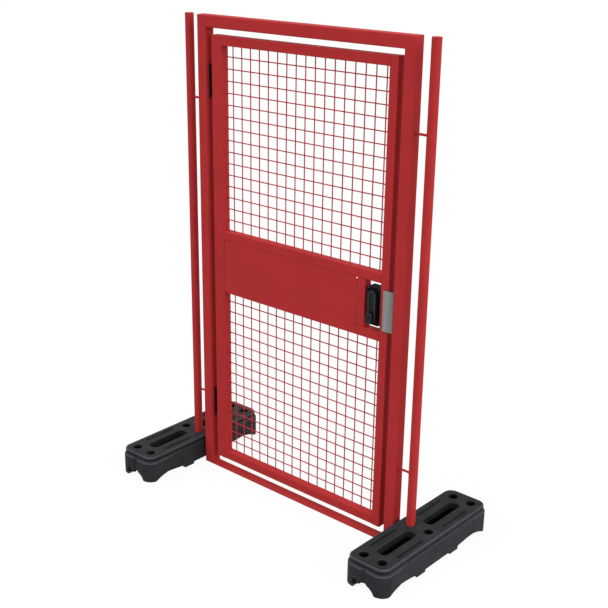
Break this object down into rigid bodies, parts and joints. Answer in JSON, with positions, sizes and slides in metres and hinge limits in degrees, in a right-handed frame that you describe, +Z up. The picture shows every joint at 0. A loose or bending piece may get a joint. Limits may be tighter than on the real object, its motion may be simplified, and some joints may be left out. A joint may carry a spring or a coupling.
{
  "type": "pedestrian gate",
  "caption": "Free-standing pedestrian gate for a temporary fence: mesh leaf with lever latch in a tube frame, between poles that stand in moulded feet.",
  "frame": {"origin": "on the ground, below the middle of the frame's opening and depth", "axes": "+X across the opening towards the lock post, -Y out of the front, +Z up"},
  "size_m": [1.5598, 0.736, 2.084],
  "materials": {
    "red_powder_coat": "smooth red powder coat on steel tube, sheet and wire",
    "black_foot_rubber": "moulded recycled rubber, slightly rough",
    "black_hinge_paint": "black coat on steel",
    "plain_steel": "zinc-plated steel",
    "stainless_steel": "brushed stainless steel",
    "buffer_rubber": "soft rubber pad",
    "black_lock_plastic": "fine-textured moulded plastic",
    "black_lever_plastic": "smooth moulded plastic with a soft gloss"
  },
  "bodies": {
    "frame": {"hinge_post": "red_powder_coat", "lock_post": "red_powder_coat", "top_rail": "red_powder_coat", "sill_bar": "red_powder_coat", "post_end_plates": "red_powder_coat", "hinge_side_pole": "red_powder_coat", "lock_side_pole": "red_powder_coat", "pole_caps": "red_powder_coat", "pole_struts": "red_powder_coat", "hinge_side_foot": "black_foot_rubber", "lock_side_foot": "black_foot_rubber", "upper_hinge_post_flap": "black_hinge_paint", "lower_hinge_post_flap": "black_hinge_paint", "upper_hinge_pin": "plain_steel", "lower_hinge_pin": "plain_steel", "upper_hinge_washer": "plain_steel", "lower_hinge_washer": "plain_steel", "lock_keep": "stainless_steel", "keep_buffers": "buffer_rubber"},
    "leaf": {"hinge_stile": "red_powder_coat", "lock_stile": "red_powder_coat", "stile_end_plates": "red_powder_coat", "leaf_bottom_rail": "red_powder_coat", "lower_mid_rail": "red_powder_coat", "upper_mid_rail": "red_powder_coat", "leaf_top_rail": "red_powder_coat", "lock_bay_upright": "red_powder_coat", "mid_panel": "red_powder_coat", "upper_mesh_uprights": "red_powder_coat", "upper_mesh_crosswires": "red_powder_coat", "lower_mesh_uprights": "red_powder_coat", "lower_mesh_crosswires": "red_powder_coat", "upper_hinge_leaf_flap": "black_hinge_paint", "lower_hinge_leaf_flap": "black_hinge_paint", "lock_case": "black_lock_plastic", "lock_front_cover": "black_lock_plastic", "lock_rear_cover": "black_lock_plastic", "latch_spring": "plain_steel"},
    "handle": {"front_lever": "black_lever_plastic", "rear_lever": "black_lever_plastic", "handle_spindle": "plain_steel", "follower": "plain_steel"},
    "latch": {"latch_bolt": "plain_steel"}
  },
  "joints": [
    {"name": "leaf_swing", "type": "hinge", "parent": "frame", "child": "leaf", "pos_m": [-0.498, 0.015, 1.03], "axis": [0, 0, 1], "range_deg": [0, 95]},
    {"name": "lever_turn", "type": "hinge", "parent": "leaf", "child": "handle", "pos_m": [0.41, 0.003, 0.983], "axis": [0, -1, 0], "range_deg": [0, 40], "stiffness_Nm_per_rad": 1.2, "springref_deg": -20.05},
    {"name": "latch_slide", "type": "slide", "parent": "leaf", "child": "latch", "axis": [-1, 0, 0], "range_m": [0, 0.014], "deforming": ["latch_spring"]}
  ],
  "couplings": [
    {"joint": "latch_slide", "follows": "lever_turn", "m_per_rad": 0.02}
  ]
}
